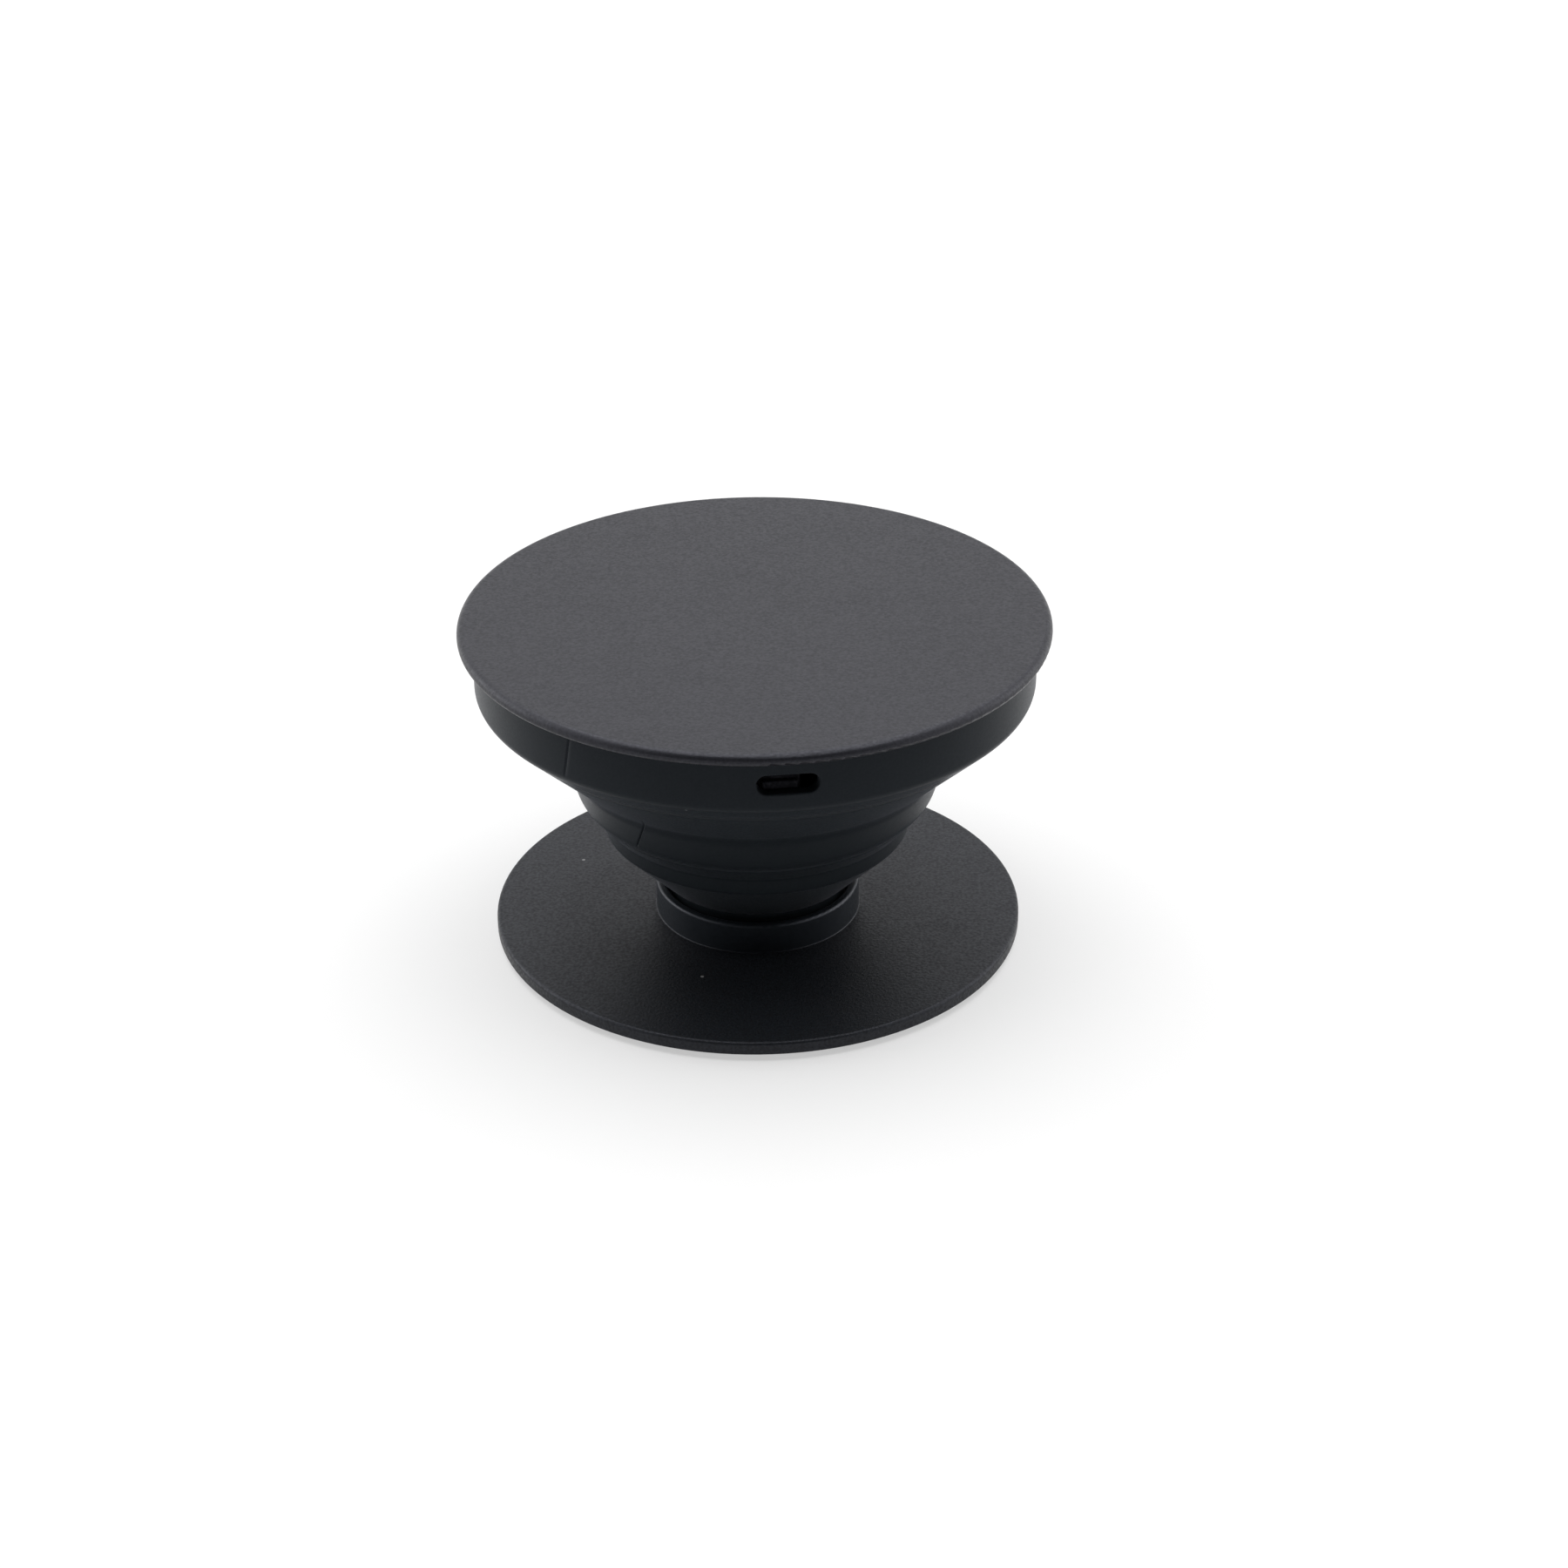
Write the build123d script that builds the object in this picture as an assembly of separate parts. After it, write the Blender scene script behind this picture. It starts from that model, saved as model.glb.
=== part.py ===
from build123d import *
import math
import os

# Collapsible phone grip: a flat disc on a folding accordion neck, snapped into a round adhesive base.
# Millimetres, +Z up, origin at the centre of the adhesive face, pulled-out pose.

# Adhesive pad under the base
pad_setback = 1.1
pad_thickness = 0.5

# Base plate with the collar that holds the accordion's foot
base_radius = 18.3
base_thickness = 0.95
base_top_round = 0.25
base_under_round = 0.12
collar_radius = 7.1
collar_wall = 0.6
collar_height = 2.2
collar_rim_round = 0.2
collar_root_round = 0.08
floor_thickness = 0.8
pocket_depth = 0.7
pocket_room = 1.6

# Foot plug that traps the accordion's foot and snaps through the collar's floor
spacer_radius = 3.4
shoulder_width = 0.6
stem_fit = 0.03
stem_wall = 0.9
barb_reach = 0.45
barb_height = 0.5
barb_clearance = 0.03
finger_slot = 0.9
plug_head_thickness = 0.8
plug_head_round = 0.25
plug_head_clearance = 0.4

# Accordion: foot and neck
foot_thickness = 0.8
foot_play = 0.05
foot_running_clearance = 0.08
collar_gap = 0.4
neck_wall = 0.9
neck_rise = 0.7
neck_lip = 0.65
neck_tuck = 0.35
neck_lip_round = 0.3

# Accordion: lower web, lower ring and the middle web above it
lower_web_height = 3.85
lower_web_wall = 0.85
lower_ring_radius = 10.75
lower_ring_height = 1.18
lower_ring_taper = 0.2
lower_ring_round = 0.5
middle_web_height = 1.82

# Accordion: upper ring, which runs softly into the web above and below it
ring_radius = 13.1
ring_height = 2.52
ring_taper = 0.8
ring_wall = 0.95
ring_shoulder_round = 2.5
ring_edge_round = 2.0

# Accordion: upper web and the wide band under the disc
upper_web_height = 5.48
upper_web_wall = 0.75
band_height = 3.67
band_wall = 0.8
band_round = 0.8
inner_round = 0.4

# Living hinges: round grooves along the outside of both webs
hinge_groove_radius = 0.14
upper_hinge_setback = 1.5
lower_hinge_setback = 0.4

# Vent slot in the band; angles are measured from the front, -Y, towards +X
vent_width = 4.05
vent_height = 1.35
vent_drop = 1.77
vent_angle = 6.0

# Top disc with the skirt that the band snaps over; the first of the skirt's notches stands notch_lead
# degrees beside the vent
disc_radius = 20.0
disc_thickness = 0.8
disc_core_thickness = 1.3
disc_top_round = 0.48
disc_under_round = 0.3
disc_overhang = 1.0
seat_gap = 0.03
skirt_fit = 0.05
skirt_wall = 1.0
skirt_depth = 2.8
bead_radius = 0.25
bead_drop = 0.65
bead_fit = 0.05
notch_count = 4
notch_width = 3.1
notch_lead = 7.5

# Key on the skirt: it sits in the vent slot, beside the slot's left end, and stops the disc from
# turning in the band
key_width = 2.25
key_height = 0.55
key_reach = 0.3
key_side_gap = 0.45
key_foot_gap = 0.12
key_round = 0.1

# Heights, from the adhesive face upwards
underside = pad_thickness
base_top = underside + base_thickness
collar_top = base_top + collar_height
pocket_top = underside + pocket_depth
floor_top = pocket_top + floor_thickness
foot_bottom = floor_top + foot_play
foot_top = foot_bottom + foot_thickness
plug_head_bottom = foot_top + foot_play
neck_lip_z = collar_top + neck_rise
lower_ring_bottom = neck_lip_z + lower_web_height
lower_ring_top = lower_ring_bottom + lower_ring_height
ring_bottom = lower_ring_top + middle_web_height
ring_top = ring_bottom + ring_height
band_bottom = ring_top + upper_web_height
band_top = band_bottom + band_height
disc_underside = band_top + seat_gap
disc_top = disc_underside + disc_thickness

# Radii that follow from the ones above
pad_radius = base_radius - pad_setback
collar_inner_radius = collar_radius - collar_wall
neck_radius = collar_inner_radius - collar_gap
neck_inner_radius = neck_radius - neck_wall
neck_lip_radius = neck_radius + neck_lip
foot_hole_radius = spacer_radius + foot_running_clearance
stem_radius = spacer_radius - shoulder_width
barb_radius = stem_radius + barb_reach
pocket_radius = barb_radius + pocket_room
ring_low_radius = ring_radius - ring_taper
lower_ring_low_radius = lower_ring_radius - lower_ring_taper
band_radius = disc_radius - disc_overhang
band_inner_radius = band_radius - band_wall
skirt_radius = band_inner_radius - skirt_fit
skirt_inner_radius = skirt_radius - skirt_wall


def turned(outline):
    """Turns a face in the XZ plane about Z into a solid."""
    return revolve(outline, axis=Axis.Z)


def profile(points, rounds=()):
    """A closed face through (radius, height) points; rounds lists its rounded corners as (point, radius)."""
    corners = [Vector(r, 0, z) for r, z in points]
    face = make_face(Polyline(*corners, close=True)).face()
    for (r, z), radius in rounds:
        corner = face.vertices().sort_by_distance(Vector(r, 0, z))[0]
        face = face.fillet_2d(radius, [corner])
    return face


def inside_line(start, end, wall):
    """The line down from start to end, both (radius, height), moved by the wall towards the cavity."""
    run = end[0] - start[0]
    fall = end[1] - start[1]
    length = math.hypot(run, fall)
    shift = (wall * fall / length, -wall * run / length)
    return [(r + shift[0], z + shift[1]) for r, z in (start, end)]


def crossing(first, second):
    """The (radius, height) point where two lines, each given by two points, meet."""
    (r1, z1), (r2, z2) = first
    (r3, z3), (r4, z4) = second
    cross = (r1 - r2) * (z3 - z4) - (z1 - z2) * (r3 - r4)
    turn_first = r1 * z2 - z1 * r2
    turn_second = r3 * z4 - z3 * r4
    r = (turn_first * (r3 - r4) - (r1 - r2) * turn_second) / cross
    z = (turn_first * (z3 - z4) - (z1 - z2) * turn_second) / cross
    return (r, z)


def hinge_groove(start, end, setback):
    """The cutter for a hinge groove, a thin torus on the line from start to end, set back from start."""
    share = setback / (start[0] - end[0])
    r = start[0] - setback
    z = start[1] + share * (end[1] - start[1])
    return turned(Plane.XZ * Pos(r, z) * Circle(hinge_groove_radius))


def at_angle(angle):
    """Turns something built on the front, towards -Y, to an angle towards +X."""
    return Rot(0, 0, angle)


def adhesive_pad():
    return Cylinder(pad_radius, pad_thickness, align=(Align.CENTER, Align.CENTER, Align.MIN))


def base_plate():
    rim = (base_radius, base_top)
    rim_under = (base_radius, underside)
    root = (collar_radius, base_top)
    collar_edge = (collar_radius, collar_top)
    mouth = (collar_inner_radius, collar_top)
    hole_radius = stem_radius + stem_fit
    points = [
        (pocket_radius, underside),
        rim_under,
        rim,
        root,
        collar_edge,
        mouth,
        (collar_inner_radius, floor_top),
        (hole_radius, floor_top),
        (hole_radius, pocket_top),
        (pocket_radius, pocket_top),
    ]
    rounds = [
        (rim, base_top_round),
        (rim_under, base_under_round),
        (root, collar_root_round),
        (collar_edge, collar_rim_round),
        (mouth, collar_rim_round),
    ]
    return turned(profile(points, rounds))


def foot_plug():
    head_radius = neck_inner_radius - plug_head_clearance
    head_edge = (head_radius, plug_head_bottom + plug_head_thickness)
    bore_radius = stem_radius - stem_wall
    barb_top = pocket_top - barb_clearance
    barb_tip = barb_top - barb_height
    points = [
        (0, plug_head_bottom + plug_head_thickness),
        head_edge,
        (head_radius, plug_head_bottom),
        (spacer_radius, plug_head_bottom),
        (spacer_radius, floor_top),
        (stem_radius, floor_top),
        (stem_radius, barb_top),
        (barb_radius, barb_top),
        (stem_radius, barb_tip),
        (bore_radius, barb_tip),
        (bore_radius, plug_head_bottom),
        (0, plug_head_bottom),
    ]
    plug = turned(profile(points, [(head_edge, plug_head_round)]))
    slot_height = floor_top - barb_tip
    slot = Box(2 * barb_radius, finger_slot, slot_height, align=(Align.CENTER, Align.CENTER, Align.MIN))
    for turn in (0, 90):
        plug -= Pos(0, 0, barb_tip) * Rot(0, 0, turn) * slot
    return plug


def accordion():
    band_mouth = (band_radius, band_top)
    band_edge = (band_radius, band_bottom)
    ring_shoulder = (ring_radius, ring_top)
    ring_edge = (ring_low_radius, ring_bottom)
    lower_shoulder = (lower_ring_radius, lower_ring_top)
    lower_edge = (lower_ring_low_radius, lower_ring_bottom)
    lip = (neck_lip_radius, neck_lip_z)
    tuck = (neck_radius, neck_lip_z - neck_tuck)
    foot_edge = (neck_radius, foot_bottom)

    band_inside = inside_line(band_mouth, band_edge, band_wall)
    upper_web_inside = inside_line(band_edge, ring_shoulder, upper_web_wall)
    ring_inside = inside_line(ring_shoulder, ring_edge, ring_wall)
    middle_web_inside = inside_line(ring_edge, lower_shoulder, lower_web_wall)
    lower_ring_inside = inside_line(lower_shoulder, lower_edge, lower_web_wall)
    lower_web_inside = inside_line(lower_edge, lip, lower_web_wall)
    neck_inside = inside_line(tuck, foot_edge, neck_wall)
    inner_band = crossing(band_inside, upper_web_inside)
    inner_shoulder = crossing(upper_web_inside, ring_inside)
    inner_edge = crossing(ring_inside, middle_web_inside)
    inner_lower_shoulder = crossing(middle_web_inside, lower_ring_inside)
    inner_lower_edge = crossing(lower_ring_inside, lower_web_inside)
    inner_neck = crossing(lower_web_inside, neck_inside)

    points = [
        band_mouth,
        band_edge,
        ring_shoulder,
        ring_edge,
        lower_shoulder,
        lower_edge,
        lip,
        tuck,
        foot_edge,
        (foot_hole_radius, foot_bottom),
        (foot_hole_radius, foot_top),
        (neck_inner_radius, foot_top),
        inner_neck,
        inner_lower_edge,
        inner_lower_shoulder,
        inner_edge,
        inner_shoulder,
        inner_band,
        (band_inner_radius, band_top),
    ]
    rounds = [
        (band_edge, band_round),
        (ring_shoulder, ring_shoulder_round),
        (ring_edge, ring_edge_round),
        (lower_shoulder, lower_ring_round),
        (lower_edge, lower_ring_round),
        (lip, neck_lip_round),
        (inner_lower_edge, inner_round),
        (inner_lower_shoulder, inner_round),
        (inner_edge, inner_round),
        (inner_shoulder, inner_round),
        (inner_band, inner_round),
    ]
    bellows = turned(profile(points, rounds))
    bellows -= hinge_groove(band_edge, ring_shoulder, upper_hinge_setback)
    bellows -= hinge_groove(ring_edge, lower_shoulder, lower_hinge_setback)
    bellows -= turned(bead_section(band_inner_radius, bead_radius + bead_fit))
    return bellows - vent_slot()


def bead_section(radius, size):
    """The round section of the snap bead, centred on a wall of the given radius."""
    return Plane.XZ * Pos(radius, disc_underside - bead_drop) * Circle(size)


def vent_slot():
    """The cutter for the air vent, a slot with round ends through the band's wall only."""
    outline = SlotOverall(vent_width, vent_height)
    outside = (0, -band_radius - band_wall, band_top - vent_drop)
    front = Plane(origin=outside, x_dir=(1, 0, 0), z_dir=(0, 1, 0))
    # The plane faces inwards, so the cutter runs from outside the band to just inside it.
    return at_angle(vent_angle) * extrude(front * outline, 3 * band_wall)


def skirt_key():
    """The key, from the middle of the skirt's wall outwards."""
    depth = skirt_wall / 2 + key_reach
    key = Box(key_width, depth, key_height, align=(Align.CENTER, Align.MIN, Align.MIN))
    face_edges = key.faces().sort_by(Axis.Y)[0].edges()
    key = fillet(face_edges, key_round)
    side = key_side_gap + (key_width - vent_width) / 2
    foot = band_top - vent_drop - vent_height / 2 + key_foot_gap
    return at_angle(vent_angle) * Pos(side, -skirt_radius - key_reach, foot) * key


def top_disc():
    top_edge = (disc_radius, disc_top)
    under_edge = (disc_radius, disc_underside)
    skirt_end = disc_underside - skirt_depth
    points = [
        (0, disc_top),
        top_edge,
        under_edge,
        (skirt_radius, disc_underside),
        (skirt_radius, skirt_end),
        (skirt_inner_radius, skirt_end),
        (skirt_inner_radius, disc_top - disc_core_thickness),
        (0, disc_top - disc_core_thickness),
    ]
    disc = turned(profile(points, [(top_edge, disc_top_round), (under_edge, disc_under_round)]))
    disc += turned(bead_section(skirt_radius, bead_radius))
    notch_height = skirt_depth - (disc_core_thickness - disc_thickness)
    notch = Box(notch_width, 4 * skirt_wall, notch_height, align=(Align.CENTER, Align.CENTER, Align.MIN))
    for number in range(notch_count):
        angle = vent_angle + notch_lead + number * 360 / notch_count
        disc -= at_angle(angle) * Pos(0, -(skirt_radius + skirt_inner_radius) / 2, skirt_end) * notch
    return disc + skirt_key()


pieces = {
    "top_disc": top_disc(),
    "accordion": accordion(),
    "base_plate": base_plate(),
    "foot_plug": foot_plug(),
    "adhesive_pad": adhesive_pad(),
}

os.makedirs("parts", exist_ok=True)
for name, solid in pieces.items():
    export_step(solid, f"parts/{name}.step")
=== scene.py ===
import math
from typing import NamedTuple

import bmesh
import bpy
from mathutils import Matrix, Vector


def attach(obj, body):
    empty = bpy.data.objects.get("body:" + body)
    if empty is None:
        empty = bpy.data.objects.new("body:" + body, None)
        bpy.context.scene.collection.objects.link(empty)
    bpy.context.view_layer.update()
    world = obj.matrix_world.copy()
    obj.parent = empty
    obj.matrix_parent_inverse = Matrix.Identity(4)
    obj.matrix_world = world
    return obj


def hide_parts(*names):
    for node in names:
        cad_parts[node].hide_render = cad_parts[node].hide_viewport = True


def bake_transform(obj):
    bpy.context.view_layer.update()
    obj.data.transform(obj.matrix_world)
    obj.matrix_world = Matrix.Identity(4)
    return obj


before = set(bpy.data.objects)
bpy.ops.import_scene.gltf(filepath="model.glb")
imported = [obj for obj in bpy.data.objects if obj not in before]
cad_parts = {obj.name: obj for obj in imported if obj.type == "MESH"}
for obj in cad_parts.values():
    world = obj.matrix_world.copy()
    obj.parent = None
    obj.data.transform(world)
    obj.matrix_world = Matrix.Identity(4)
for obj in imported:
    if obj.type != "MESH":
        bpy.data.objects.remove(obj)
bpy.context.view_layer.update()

# The object's sizes are millimetres, as (radius, height) about the turning axis; MM turns them into metres
MM = 0.001

# Accordion: the wide band under the disc
BAND_RADIUS = 19.0
BAND_WALL = 0.8
BAND_TOP = 22.87
BAND_BOTTOM = 19.2
BAND_ROUND = 0.8
BEAD_GROOVE_DEPTH = 0.3
BEAD_GROOVE_HALF_WIDTH = 0.42
BEAD_HEIGHT = 22.25

# Accordion: upper web, upper ring, middle web, lower ring, lower web and neck
UPPER_WEB_WALL = 0.75
RING_RADIUS = 13.1
RING_LOW_RADIUS = 12.3
RING_TOP = 13.72
RING_BOTTOM = 11.2
RING_WALL = 0.95
RING_SHOULDER_ROUND = 2.5
RING_EDGE_ROUND = 2.0
LOWER_WEB_WALL = 0.85
LOWER_RING_RADIUS = 10.75
LOWER_RING_LOW_RADIUS = 10.55
LOWER_RING_TOP = 9.38
LOWER_RING_BOTTOM = 8.2
LOWER_RING_ROUND = 0.5
LIP_RADIUS = 6.75
LIP_HEIGHT = 4.35
LIP_ROUND = 0.3
NECK_RADIUS = 6.1
NECK_TUCK = 0.35
NECK_WALL = 0.9
FOOT_BOTTOM = 2.05
FOOT_TOP = 2.85
FOOT_HOLE_RADIUS = 3.48
INNER_ROUND = 0.4

# Living hinges: grooves in the webs, set back inwards from the band's and the ring's lower corners
HINGE_GROOVE_DEPTH = 0.14
UPPER_GROOVE_HALF_WIDTH = 0.42
LOWER_GROOVE_HALF_WIDTH = 0.26
UPPER_HINGE_SETBACK = 1.5
LOWER_HINGE_SETBACK = 0.4

# Mould parting lines: two fine grooves, opposite each other, down the band, and two down the ring, which
# start a rise above its top. Angles are degrees, of a line's middle and of its slant from bottom to top. The
# width is the one at the band's radius, and the mesh's columns across a line are in half widths.
BAND_PARTING_ANGLE = -129.3
BAND_PARTING_SLANT = 1.95
RING_PARTING_ANGLE = -126.1
RING_PARTING_SLANT = 9.3
RING_PARTING_RISE = 1.1
PARTING_WIDTH = 0.26
PARTING_DEPTH = 0.065
PARTING_RAMP = 0.25
PARTING_COLUMNS = (-1, -0.5, 0, 0.5, 1)

# Air vent through the band's wall
VENT_WIDTH = 4.05
VENT_HEIGHT = 1.35
VENT_LEVEL = 21.1
VENT_ANGLE = -84.0
VENT_EDGE_ROUND = 0.08

# Mesh fineness
TURN_STEPS = 480
ARC_STEPS = 8
VENT_END_STEPS = 48
LONGEST_STEP = 0.45
SHARP_ANGLE = 40.0
ANGLE_DIGITS = 4

# The rise of the web's seam above the ring's top, and the height of the base's top
RING_SEAM_RISE = 0.6
BASE_TOP = 1.45


def rounded(corners):
    """An open outline through (radius, height, rounding) corners, each rounded off by an arc."""
    points = [Vector(corners[0][:2])]
    for before, at, after in zip(corners, corners[1:], corners[2:]):
        corner = Vector(at[:2])
        rounding = at[2]
        if rounding == 0:
            points.append(corner)
            continue
        back = (Vector(before[:2]) - corner).normalized()
        ahead = (Vector(after[:2]) - corner).normalized()
        half = back.angle(ahead) / 2
        centre = corner + (back + ahead).normalized() * rounding / math.sin(half)
        first = corner + back * rounding / math.tan(half) - centre
        last = corner + ahead * rounding / math.tan(half) - centre
        for step in range(ARC_STEPS + 1):
            points.append(centre + first.slerp(last, step / ARC_STEPS).normalized() * rounding)
    points.append(Vector(corners[-1][:2]))
    return points


def notched(points, centre, depth, half_width):
    """The outline with a round-lipped groove sunk into the wall, centred on one of its straight stretches.

    The groove follows one wave of a cosine.
    """
    centre = Vector(centre)
    spans = list(zip(points, points[1:]))
    gaps = [abs((a - centre).length + (b - centre).length - (a - b).length) for a, b in spans]
    place = gaps.index(min(gaps))
    along = (points[place + 1] - points[place]).normalized()
    inward = Vector((along.y, -along.x))
    dip = []
    for step in range(2 * ARC_STEPS + 1):
        across = step / ARC_STEPS - 1
        dip.append(
            centre + along * across * half_width + inward * depth * (1 + math.cos(math.pi * across)) / 2
        )
    return points[:place + 1] + dip + points[place + 1:]


def moved_in(start, end, wall):
    """The line from start to end, both going down, moved by the wall towards the cavity."""
    start, end = Vector(start), Vector(end)
    along = (end - start).normalized()
    shift = Vector((along.y, -along.x)) * wall
    return start + shift, end + shift


def crossing(first, second):
    """The point where two lines, each given by two points, meet."""
    (a, b), (c, d) = first, second
    run, other = b - a, d - c
    share = (c - a).cross(other) / run.cross(other)
    return a + run * share


def refined(points):
    """The outline with its long straight stretches divided."""
    fine = [points[0]]
    for a, b in zip(points, points[1:]):
        count = max(1, math.ceil((b - a).length / LONGEST_STEP))
        fine += [a.lerp(b, (k + 1) / count) for k in range(count)]
    return fine


def on_line(start, end, setback):
    """The point of a line that lies the given radial distance inwards from its start."""
    start, end = Vector(start), Vector(end)
    return start.lerp(end, setback / (start.x - end.x))


# The outside's corners, before they are rounded, and the hinges between them
band_edge = (BAND_RADIUS, BAND_BOTTOM)
ring_shoulder = (RING_RADIUS, RING_TOP)
ring_edge = (RING_LOW_RADIUS, RING_BOTTOM)
lower_shoulder = (LOWER_RING_RADIUS, LOWER_RING_TOP)
lower_edge = (LOWER_RING_LOW_RADIUS, LOWER_RING_BOTTOM)
lip = (LIP_RADIUS, LIP_HEIGHT)
tuck = (NECK_RADIUS, LIP_HEIGHT - NECK_TUCK)
upper_hinge = on_line(band_edge, ring_shoulder, UPPER_HINGE_SETBACK)
lower_hinge = on_line(ring_edge, lower_shoulder, LOWER_HINGE_SETBACK)


def outer_outline():
    """The accordion's outside, from the band's mouth down to the foot."""
    points = rounded([
        (BAND_RADIUS, BAND_TOP, 0),
        (*band_edge, BAND_ROUND),
        (*ring_shoulder, RING_SHOULDER_ROUND),
        (*ring_edge, RING_EDGE_ROUND),
        (*lower_shoulder, LOWER_RING_ROUND),
        (*lower_edge, LOWER_RING_ROUND),
        (*lip, LIP_ROUND),
        (*tuck, 0),
        (NECK_RADIUS, FOOT_BOTTOM, 0),
    ])
    points = notched(points, upper_hinge, HINGE_GROOVE_DEPTH, UPPER_GROOVE_HALF_WIDTH)
    points = notched(points, lower_hinge, HINGE_GROOVE_DEPTH, LOWER_GROOVE_HALF_WIDTH)
    return refined(points)


def inner_outline():
    """The accordion's inside, from the foot's hole up to the band's mouth."""
    band_line = moved_in((BAND_RADIUS, BAND_TOP), band_edge, BAND_WALL)
    upper_web = moved_in(band_edge, ring_shoulder, UPPER_WEB_WALL)
    upper_ring = moved_in(ring_shoulder, ring_edge, RING_WALL)
    middle_web = moved_in(ring_edge, lower_shoulder, LOWER_WEB_WALL)
    lower_ring = moved_in(lower_shoulder, lower_edge, LOWER_WEB_WALL)
    lower_web = moved_in(lower_edge, lip, LOWER_WEB_WALL)
    neck_line = moved_in(tuck, (NECK_RADIUS, FOOT_BOTTOM), NECK_WALL)
    band_inner_radius = BAND_RADIUS - BAND_WALL
    points = rounded([
        (FOOT_HOLE_RADIUS, FOOT_BOTTOM, 0),
        (FOOT_HOLE_RADIUS, FOOT_TOP, 0),
        (NECK_RADIUS - NECK_WALL, FOOT_TOP, 0),
        (*crossing(neck_line, lower_web), 0),
        (*crossing(lower_web, lower_ring), INNER_ROUND),
        (*crossing(lower_ring, middle_web), INNER_ROUND),
        (*crossing(middle_web, upper_ring), INNER_ROUND),
        (*crossing(upper_ring, upper_web), INNER_ROUND),
        (*crossing(upper_web, band_line), INNER_ROUND),
        (band_inner_radius, BAND_TOP, 0),
    ])
    points = notched(points, (band_inner_radius, BEAD_HEIGHT), BEAD_GROOVE_DEPTH, BEAD_GROOVE_HALF_WIDTH)
    return refined(points)


def nearest(points, target):
    """The number of the outline's point nearest to a target."""
    return min(range(len(points)), key=lambda k: (points[k] - target).length)


def at_height(points, height):
    """The number of the first point at or above a height, and the outline's own point at it."""
    for number, (a, b) in enumerate(zip(points, points[1:])):
        if a.y <= height <= b.y and b.y > a.y:
            return number + 1, a.lerp(b, (height - a.y) / (b.y - a.y))
    raise ValueError(f"the outline doesn't reach the height {height}")


def stretch(outer, inner, upper=None, lower=None):
    """The closed outline of the wall between two seams, and the count of its points that lie outside.

    A seam is a point of the outside, and the wall is cut level there. Without a seam, it runs to its end.
    """
    first, last = 0, len(outer) - 1
    cavity = list(inner)
    if upper is not None:
        first = nearest(outer, upper)
        number, point = at_height(cavity, outer[first].y)
        cavity = cavity[:number] + [point]
    if lower is not None:
        last = nearest(outer, lower)
        number, point = at_height(cavity, outer[last].y)
        cavity = [point] + cavity[number:]
    return outer[first:last + 1] + cavity, last + 1 - first


def apart(angle, other):
    """How many degrees lie between two angles, the short way round."""
    return abs((angle - other + 180) % 360 - 180)


class Parting:
    """Two opposite parting lines between two heights, given by their middle's angle and their slant."""

    def __init__(self, low, high, angle, slant):
        self.low, self.high, self.slant = low, high, slant
        self.angles = (angle, angle + 180)

    def turn_at(self, height):
        """How far the slant has turned the lines at a height."""
        return self.slant * ((height - self.low) / (self.high - self.low) - 0.5)

    def depth_at(self, angle, height):
        """How deep the lines are cut at a place, fading out over the ramp at their two ends."""
        fade = min(1, max(0, min(height - self.low, self.high - height) / PARTING_RAMP))
        across = min(apart(angle, middle) for middle in self.angles)
        return PARTING_DEPTH * fade * max(0, 1 - 2 * math.radians(across) * BAND_RADIUS / PARTING_WIDTH)


def turn_angles(parting):
    """The angles of the mesh's columns: even steps, with closer ones at the parting lines."""
    angles = {round(360 * k / TURN_STEPS, ANGLE_DIGITS) for k in range(TURN_STEPS)}
    if parting:
        half = math.degrees(PARTING_WIDTH / 2 / BAND_RADIUS)
        for middle in parting.angles:
            angles = {a for a in angles if apart(a, middle) > half}
            angles |= {round((middle + half * k) % 360, ANGLE_DIGITS) for k in PARTING_COLUMNS}
    return sorted(angles)


def polar(radius, turn, height):
    """The place in metres at a radius and a height in millimetres, turned about the axis by radians."""
    return radius * math.cos(turn) * MM, radius * math.sin(turn) * MM, height * MM


def skin(loops, size, closed):
    """The faces between loops of as many points as size says; if closed, the last loop meets the first."""
    faces = []
    for loop in range(loops if closed else loops - 1):
        here, there = loop * size, (loop + 1) % loops * size
        for step in range(size):
            ahead = (step + 1) % size
            faces.append((here + step, here + ahead, there + ahead, there + step))
    return faces


def mesh_object(name, verts, faces):
    """A new object in the scene, with a mesh of the same name."""
    mesh = bpy.data.meshes.new(name)
    mesh.from_pydata(verts, [], faces)
    made = bpy.data.objects.new(name, mesh)
    bpy.context.scene.collection.objects.link(made)
    return made


def tidy_normals(mesh):
    """Turns all faces outwards and shades them smooth, apart from the sharp edges."""
    shape = bmesh.new()
    shape.from_mesh(mesh)
    bmesh.ops.recalc_face_normals(shape, faces=shape.faces)
    shape.to_mesh(mesh)
    shape.free()
    mesh.shade_smooth()
    mesh.set_sharp_from_angle(angle=math.radians(SHARP_ANGLE))


def turned(name, outline, parting=None, outside_count=0):
    """A closed mesh turned about Z; the outline's first outside_count points carry the parting lines."""
    angles = turn_angles(parting)
    verts = []
    for angle in angles:
        for number, point in enumerate(outline):
            radius, turn = point.x, math.radians(angle)
            if parting:
                turn += math.radians(parting.turn_at(point.y))
                if number < outside_count:
                    radius -= parting.depth_at(angle, point.y)
            verts.append(polar(radius, turn, point.y))
    piece = mesh_object(name, verts, skin(len(angles), len(outline), closed=True))
    tidy_normals(piece.data)
    return piece


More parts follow.
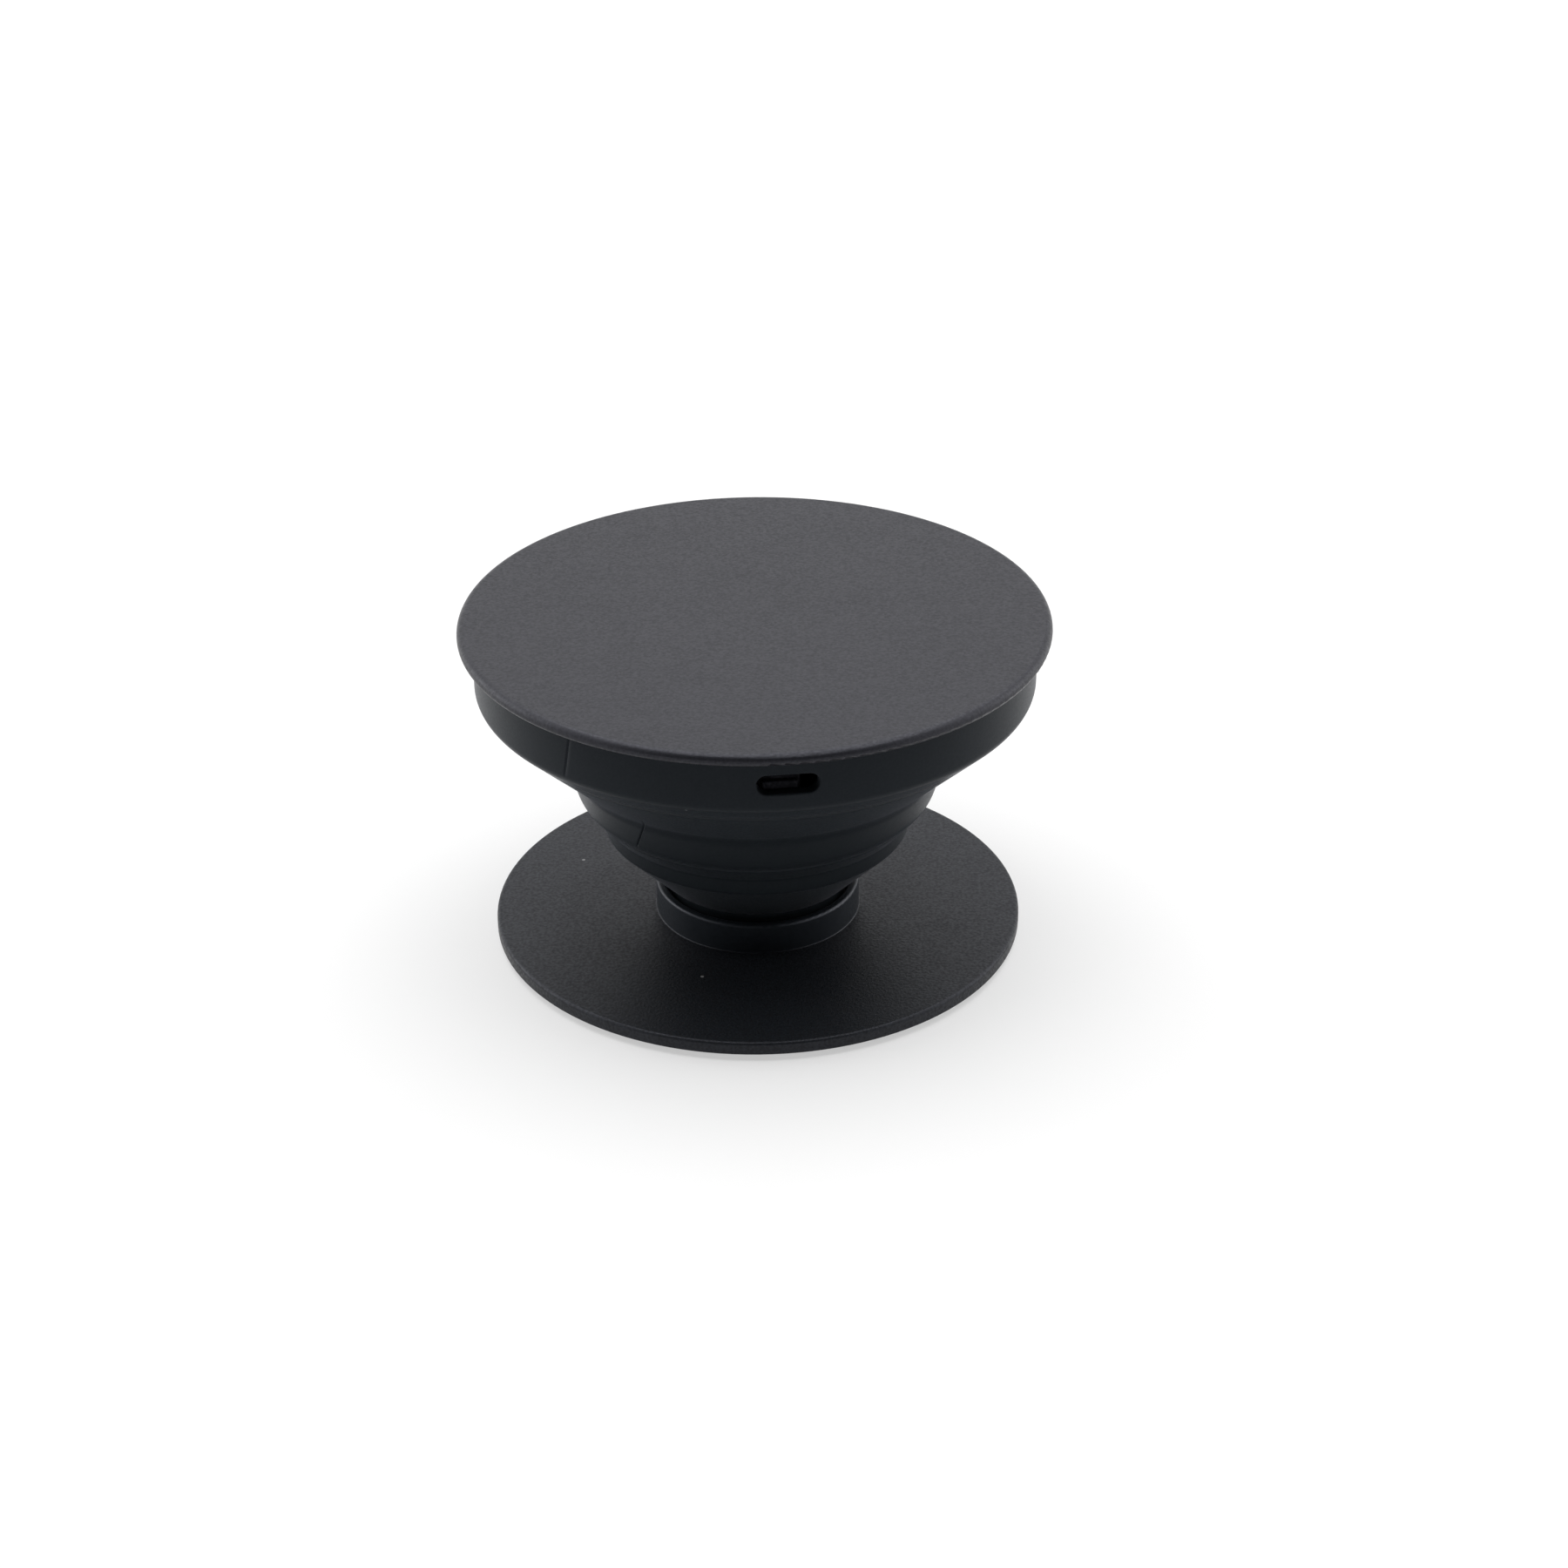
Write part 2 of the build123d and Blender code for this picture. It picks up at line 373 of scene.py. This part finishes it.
def vent_cutter():
    """A slot-shaped cutter on the band's curve, flared outside so that the vent's edge comes out round."""
    half_straight = (VENT_WIDTH - VENT_HEIGHT) / 2
    levels = [(BAND_RADIUS + BAND_WALL, VENT_EDGE_ROUND)]
    for step in range(ARC_STEPS + 1):
        depth = VENT_EDGE_ROUND * math.sin(math.pi / 2 * step / ARC_STEPS)
        lean = math.acos(1 - depth / VENT_EDGE_ROUND)
        levels.append((BAND_RADIUS - depth, VENT_EDGE_ROUND * (1 - math.sin(lean))))
    levels.append((BAND_RADIUS - 2 * BAND_WALL, 0))
    around = 2 * VENT_END_STEPS
    verts = []
    for radius, flare in levels:
        reach = VENT_HEIGHT / 2 + flare
        for step in range(around):
            side = 1 if step < VENT_END_STEPS else -1
            turn = math.pi * (step % VENT_END_STEPS) / (VENT_END_STEPS - 1) - math.pi / 2
            across = side * (half_straight + reach * math.cos(turn))
            up = side * reach * math.sin(turn)
            angle = math.radians(VENT_ANGLE) + across / BAND_RADIUS
            verts.append(polar(radius, angle, VENT_LEVEL + up))
    ends = [tuple(range(around)), tuple(range(len(verts) - around, len(verts)))]
    cutter = mesh_object("vent_cutter", verts, ends + skin(len(levels), around, closed=False))
    tidy_normals(cutter.data)
    return cutter


def cut(piece, cutter):
    """Cuts the cutter out of the piece's mesh and deletes it."""
    step = piece.modifiers.new("cut", "BOOLEAN")
    step.operation = "DIFFERENCE"
    step.solver = "EXACT"
    step.object = cutter
    bpy.context.view_layer.update()
    result = bpy.data.meshes.new_from_object(piece.evaluated_get(bpy.context.evaluated_depsgraph_get()))
    piece.modifiers.clear()
    piece.data = result
    bpy.data.objects.remove(cutter)
    tidy_normals(result)


def feed(tree, socket, value):
    """Gives a node's input a value, or links it to another node's output."""
    if isinstance(value, bpy.types.NodeSocket):
        tree.links.new(value, socket)
    else:
        socket.default_value = value


def node(tree, kind, **inputs):
    """A new shader node with its named inputs fed."""
    made = tree.nodes.new(kind)
    for name, value in inputs.items():
        feed(tree, made.inputs[name], value)
    return made


def worked_out(tree, kind, operation, values):
    """The outputs of a new node that carries out an operation on the values."""
    made = tree.nodes.new(kind)
    made.operation = operation
    for socket, value in zip(made.inputs, values):
        feed(tree, socket, value)
    return made.outputs


def maths(tree, operation, *values):
    """The result of an operation on numbers."""
    return worked_out(tree, "ShaderNodeMath", operation, values)["Value"]


def measured(tree, operation, *values):
    """The number that an operation on places gives."""
    return worked_out(tree, "ShaderNodeVectorMath", operation, values)["Value"]


def remapped(tree, value, old, new):
    """A value carried over from one range, given by its two ends, to another."""
    made = node(tree, "ShaderNodeMapRange", Value=value)
    for name, end in zip(("From Min", "From Max", "To Min", "To Max"), (*old, *new)):
        made.inputs[name].default_value = end
    return made.outputs[0]


# Finishes: linear colours, grain sizes in millimetres, the clouds' scale in repeats per metre
CLOUD_SCALE = 260.0
CLOUD_DETAIL = 3.0
CLOUD_SHARE = 0.15
GRAIN_DETAIL = 2.0
GRAIN_LOW = 0.35
GRAIN_HIGH = 0.65
SHEEN_ROUGHNESS = 0.3
# The bluish tints of the sheen and of the shine are painted light: they stand in for a cool cast of the
# light.
SHEEN_TINT = (0.86, 0.88, 1.0, 1)
SHINE_TINT = (0.87, 0.88, 1.0, 1)

# Dust: the place and radius of each speck
DUST_COLOUR = (0.3, 0.3, 0.3, 1)
BASE_SPECKS = ((-3.84, -9.99, BASE_TOP, 0.12), (-12.5, 5.98, BASE_TOP, 0.12))
BAND_SPECKS = ((-4.44, -18.16, 19.02, 0.1),)


class Zone(NamedTuple):
    """The part of a surface, up to a radius or a height, that has no grain, a share of the roughness, and a
    colour of painted light or shade.
    """

    measure: str
    limit: float
    colour: tuple
    rough_share: float


# The collar, to just past its outer wall, lightened by painted light, and the disc's skirt with its key,
# darkened by painted shade
# The collar's colour is painted light: lighter than the base's, it lifts the collar out of the shade under
# the disc.
COLLAR_PAINTED_LIGHT_ZONE = Zone("radius", limit=7.11, colour=(0.022, 0.027, 0.033), rough_share=0.8)
# The skirt's colour is painted shade: near black, it darkens the skirt and its key where they are seen deep
# in the vent.
SKIRT_PAINTED_SHADE_ZONE = Zone("height", limit=22.4, colour=(0.002, 0.002, 0.003), rough_share=2.3)


def beyond(tree, place, zone):
    """1 where a place's radius about the turning axis, or its height, is over the zone's limit, else 0."""
    parts = node(tree, "ShaderNodeSeparateXYZ", Vector=place).outputs
    if zone.measure == "height":
        return maths(tree, "GREATER_THAN", parts["Z"], zone.limit * MM)
    x, y = parts["X"], parts["Y"]
    square = maths(tree, "MULTIPLY_ADD", x, x, maths(tree, "MULTIPLY", y, y))
    return maths(tree, "GREATER_THAN", square, (zone.limit * MM) ** 2)


def noise(tree, place, scale, detail):
    """Soft noise between 0 and 1, as it is at a place."""
    return node(tree, "ShaderNodeTexNoise", Vector=place, Scale=scale, Detail=detail).outputs[0]


def toned(tree, tone, dark, light):
    """The colour that a tone of the grain has, between dark and light."""
    ramp = node(tree, "ShaderNodeValToRGB", Fac=tone)
    for end, position, colour in zip(ramp.color_ramp.elements, (GRAIN_LOW, GRAIN_HIGH), (dark, light)):
        end.position = position
        end.color = (*colour, 1)
    return ramp.outputs[0]


def mixed(tree, share, first, second):
    """The colour that goes from the first to the second as the share goes from 0 to 1."""
    return node(tree, "ShaderNodeMixRGB", Fac=share, Color1=first, Color2=second).outputs[0]


def moulded(
    name, dark, light, roughness, specular, grain, depth, spread=0.04, sheen=0.0, specks=(), zone=None
):
    """A moulded plastic or rubber: fine grain in colour, gloss and bump, faint clouds, and stray dust specks.

    The roughness differs by the spread between the grain's dots. The bump's depth is in millimetres. Within
    the zone, the surface is plain and takes the zone's colour, which is painted light or shade.
    """
    material = bpy.data.materials.new(name)
    material.use_nodes = True
    tree = material.node_tree
    place = tree.nodes.new("ShaderNodeTexCoord").outputs["Object"]
    cloud = noise(tree, place, CLOUD_SCALE, CLOUD_DETAIL)
    fine = noise(tree, place, 1 / (grain * MM), GRAIN_DETAIL)
    tone = maths(tree, "MULTIPLY_ADD", cloud, CLOUD_SHARE, maths(tree, "MULTIPLY", fine, 1 - CLOUD_SHARE))
    colour = toned(tree, tone, dark, light)
    for x, y, z, radius in specks:
        away = measured(tree, "DISTANCE", place, (x * MM, y * MM, z * MM))
        colour = mixed(tree, maths(tree, "LESS_THAN", away, radius * MM), colour, DUST_COLOUR)
    rough = remapped(tree, tone, (GRAIN_LOW, GRAIN_HIGH), (roughness + spread, roughness - spread))
    bump = node(tree, "ShaderNodeBump", Height=fine, Strength=1.0, Distance=depth * MM)
    if zone:
        grained = beyond(tree, place, zone)
        # Painted light and shade: within the zone, the zone's own colour replaces the grain's, lighter on the
        # collar and near black on the skirt.
        colour = mixed(tree, grained, (*zone.colour, 1), colour)
        share = maths(tree, "MULTIPLY_ADD", grained, 1 - zone.rough_share, zone.rough_share)
        rough = maths(tree, "MULTIPLY", rough, share)
        feed(tree, bump.inputs["Strength"], grained)
    surface = {
        "Base Color": colour,
        "Roughness": rough,
        "Normal": bump.outputs[0],
        "Specular IOR Level": specular,
        "Specular Tint": SHINE_TINT,
        "Sheen Weight": sheen,
        "Sheen Roughness": SHEEN_ROUGHNESS,
        "Sheen Tint": SHEEN_TINT,
    }
    shader = tree.nodes["Principled BSDF"]
    for setting, value in surface.items():
        feed(tree, shader.inputs[setting], value)
    return material


# The bluish cast of these colours is painted light: it stands in for a cool cast of the light.
disc_plastic = moulded(
    "disc_plastic",
    dark=(0.0095, 0.0095, 0.012),
    light=(0.0225, 0.0225, 0.0278),
    roughness=0.4,
    spread=0.08,
    specular=0.32,
    grain=0.2,
    depth=0.014,
    zone=SKIRT_PAINTED_SHADE_ZONE,
)
accordion_rubber = moulded(
    "accordion_rubber",
    dark=(0.0192, 0.0236, 0.0278),
    light=(0.022, 0.027, 0.0316),
    roughness=0.36,
    specular=0.08,
    sheen=0.1,
    grain=0.16,
    depth=0.001,
    specks=BAND_SPECKS,
)
base_plastic = moulded(
    "base_plastic",
    dark=(0.0018, 0.0022, 0.0028),
    light=(0.0132, 0.0158, 0.019),
    roughness=0.45,
    spread=0.1,
    specular=0.33,
    grain=0.2,
    depth=0.02,
    specks=BASE_SPECKS,
    zone=COLLAR_PAINTED_LIGHT_ZONE,
)
plug_plastic = moulded(
    "plug_plastic",
    dark=(0.03, 0.03, 0.032),
    light=(0.036, 0.036, 0.038),
    roughness=0.5,
    specular=0.3,
    grain=0.25,
    depth=0.004,
)
adhesive_foam = moulded(
    "adhesive_foam",
    dark=(0.016, 0.016, 0.017),
    light=(0.03, 0.03, 0.032),
    roughness=0.9,
    specular=0.1,
    grain=0.12,
    depth=0.02,
)


def finish_with(piece, material):
    """Gives a piece its one material."""
    piece.data.materials.clear()
    piece.data.materials.append(material)


# The carried-over CAD pieces
finish_with(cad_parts["top_disc"], disc_plastic)
finish_with(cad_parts["base_plate"], base_plastic)
finish_with(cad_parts["foot_plug"], plug_plastic)
finish_with(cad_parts["adhesive_pad"], adhesive_foam)

# The accordion, in four stretches: they meet at both hinges and a little above the ring
outside = outer_outline()
inside = inner_outline()


def groove_seam(hinge, start, end):
    """The outside's point at the bottom of the groove that a hinge makes in the line from start to end."""
    sunk = moved_in(start, end, HINGE_GROOVE_DEPTH)[0] - Vector(start)
    return outside[nearest(outside, hinge + sunk)]


upper_seam = groove_seam(upper_hinge, band_edge, ring_shoulder)
lower_seam = groove_seam(lower_hinge, ring_edge, lower_shoulder)
seam_height = RING_TOP + RING_SEAM_RISE
web_line = (Vector(ring_shoulder), Vector(band_edge))
level_line = (Vector((0, seam_height)), Vector((1, seam_height)))
ring_seam = outside[nearest(outside, crossing(web_line, level_line))]


def accordion_piece(name, upper, lower, parting=None):
    """One stretch of the accordion between two seams, with its material, and with the CAD accordion that it
    stands for hidden.
    """
    outline, outside_count = stretch(outside, inside, upper, lower)
    piece = turned(name, outline, parting, outside_count)
    if upper is None:
        cut(piece, vent_cutter())
    finish_with(piece, accordion_rubber)
    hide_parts("accordion")
    return piece


band_parting = Parting(
    BAND_BOTTOM + PARTING_RAMP, BAND_TOP + PARTING_RAMP, BAND_PARTING_ANGLE, BAND_PARTING_SLANT
)
band = accordion_piece("accordion_band", None, upper_seam, band_parting)
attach(band, "head")

ring_parting = Parting(RING_BOTTOM, RING_TOP + RING_PARTING_RISE, RING_PARTING_ANGLE, RING_PARTING_SLANT)
web = accordion_piece("accordion_web", upper_seam, ring_seam, ring_parting)
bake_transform(web)

ring = accordion_piece("accordion_ring", ring_seam, lower_seam, ring_parting)
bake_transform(ring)

neck = accordion_piece("accordion_neck", lower_seam, None)
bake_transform(neck)


# Camera of the photograph: distances in millimetres, angles in radians, focal length in its 1800-pixel frame
CAMERA_BACK = 201.256
CAMERA_HEIGHT = 121.402
CAMERA_PITCH = 0.5026
CAMERA_YAW = 0.0094
CAMERA_ROLL = -0.0070
CLIP_START = 10.0
FOCAL_PIXELS = 3817.97
PHOTO_PIXELS = 1800
SENSOR_WIDTH = 36.0


def photo_camera():
    """The camera that took the photograph, as fitted to the rims of the disc and the base."""
    level = math.cos(CAMERA_PITCH)
    ahead = Vector((math.sin(CAMERA_YAW) * level, math.cos(CAMERA_YAW) * level, -math.sin(CAMERA_PITCH)))
    right = Vector((math.cos(CAMERA_YAW), -math.sin(CAMERA_YAW), 0))
    up = right.cross(ahead)
    rolled_right = right * math.cos(CAMERA_ROLL) + up * math.sin(CAMERA_ROLL)
    rolled_up = up * math.cos(CAMERA_ROLL) - right * math.sin(CAMERA_ROLL)
    data = bpy.data.cameras.new("photo_camera")
    data.sensor_width = SENSOR_WIDTH
    data.lens = FOCAL_PIXELS / PHOTO_PIXELS * SENSOR_WIDTH
    data.clip_start = CLIP_START * MM
    camera = bpy.data.objects.new("photo_camera", data)
    turn = Matrix((rolled_right, rolled_up, -ahead)).transposed().to_4x4()
    camera.matrix_world = Matrix.Translation((0, -CAMERA_BACK * MM, CAMERA_HEIGHT * MM)) @ turn
    bpy.context.scene.collection.objects.link(camera)
    bpy.context.scene.camera = camera


# Stage: metres, watts and plain strengths; the floor's fill rises between the two fade distances
WHITE = (1, 1, 1, 1)
FLOOR_HALF = 3.0
FLOOR_COLOUR = (0.5, 0.5, 0.5, 1)
FLOOR_FILL = 0.51
FAR_FILL = 0.9
FADE_START = 0.12
FADE_END = 0.4
FLAG_BACK = 0.45
FLAG_HALF_WIDTH = 0.5
FLAG_HEIGHT = 1.0
FLAG_COLOUR = (0.04, 0.04, 0.04, 1)
AMBIENT_BACK = 0.5
AMBIENT_FRONT = 0.1


class Softbox(NamedTuple):
    """A square lamp at one place, aimed at another."""

    place: tuple
    aim: tuple
    size: float
    power: float


SOFTBOXES = (
    Softbox(place=(0.0, 0.1, 0.62), aim=(0.0, 0.0, 0.02), size=0.75, power=4.4),
    Softbox(place=(-0.6, 0.2, 0.25), aim=(0.0, 0.0, 0.01), size=0.5, power=1.5),
    Softbox(place=(0.6, 0.2, 0.25), aim=(0.0, 0.0, 0.01), size=0.5, power=1.1),
)


def seen_directly(tree):
    """1 for what the camera sees, straight or in a reflection or through glass; 0 for light on the object."""
    path = tree.nodes.new("ShaderNodeLightPath").outputs
    seen = maths(tree, "ADD", path["Is Camera Ray"], path["Is Glossy Ray"])
    seen = maths(tree, "ADD", seen, path["Is Transmission Ray"])
    return maths(tree, "MINIMUM", seen, 1.0)


def dull_sheet(name, corners, colour):
    """A flat sheet for the stage, with a material without gloss."""
    sheet = mesh_object(name, corners, [(0, 1, 2, 3)])
    material = bpy.data.materials.new(name)
    material.use_nodes = True
    shader = material.node_tree.nodes["Principled BSDF"]
    shader.inputs["Base Color"].default_value = colour
    shader.inputs["Roughness"].default_value = 1.0
    shader.inputs["Specular IOR Level"].default_value = 0.0
    sheet.data.materials.append(material)
    return sheet


def pale_floor():
    """A plain floor that takes the object's shadow and looks white from the camera, more so farther out."""
    ends = ((-1, -1), (1, -1), (1, 1), (-1, 1))
    corners = [(x * FLOOR_HALF, y * FLOOR_HALF, 0) for x, y in ends]
    floor = dull_sheet("floor", corners, FLOOR_COLOUR)
    tree = floor.data.materials[0].node_tree
    away = measured(tree, "LENGTH", tree.nodes.new("ShaderNodeTexCoord").outputs["Object"])
    fill = remapped(tree, away, (FADE_START, FADE_END), (FLOOR_FILL, FAR_FILL))
    shader = tree.nodes["Principled BSDF"]
    shader.inputs["Emission Color"].default_value = WHITE
    feed(tree, shader.inputs["Emission Strength"], maths(tree, "MULTIPLY", seen_directly(tree), fill))


def studio_world():
    """White where it is seen; as light, soft from behind and weak from the camera's side."""
    world = bpy.data.worlds.new("studio")
    bpy.context.scene.world = world
    world.use_nodes = True
    tree = world.node_tree
    tree.nodes.clear()
    direction = tree.nodes.new("ShaderNodeTexCoord").outputs["Generated"]
    backward = node(tree, "ShaderNodeSeparateXYZ", Vector=direction).outputs["Y"]
    ambient = remapped(tree, backward, (-1, 1), (AMBIENT_FRONT, AMBIENT_BACK))
    light = node(tree, "ShaderNodeBackground", Strength=ambient)
    white = node(tree, "ShaderNodeBackground", Color=WHITE, Strength=1.0)
    mix = node(tree, "ShaderNodeMixShader", Fac=seen_directly(tree))
    tree.links.new(light.outputs[0], mix.inputs[1])
    tree.links.new(white.outputs[0], mix.inputs[2])
    out = tree.nodes.new("ShaderNodeOutputWorld")
    tree.links.new(mix.outputs[0], out.inputs["Surface"])


def dark_flag():
    """A dark card behind the camera, which the camera never sees: it keeps front reflections dark."""
    ends = ((-1, 0), (1, 0), (1, 1), (-1, 1))
    corners = [(x * FLAG_HALF_WIDTH, -FLAG_BACK, z * FLAG_HEIGHT) for x, z in ends]
    flag = dull_sheet("flag", corners, FLAG_COLOUR)
    flag.visible_camera = False
    flag.visible_shadow = False


def softboxes():
    """Large square lamps above and beside the object."""
    for number, softbox in enumerate(SOFTBOXES):
        name = f"softbox_{number}"
        data = bpy.data.lights.new(name, "AREA")
        data.size = softbox.size
        data.energy = softbox.power
        lamp = bpy.data.objects.new(name, data)
        lamp.location = softbox.place
        toward = Vector(softbox.aim) - Vector(softbox.place)
        lamp.rotation_euler = toward.to_track_quat("-Z", "Y").to_euler()
        bpy.context.scene.collection.objects.link(lamp)


photo_camera()
pale_floor()
studio_world()
dark_flag()
softboxes()
bpy.context.scene.view_settings.view_transform = "Standard"
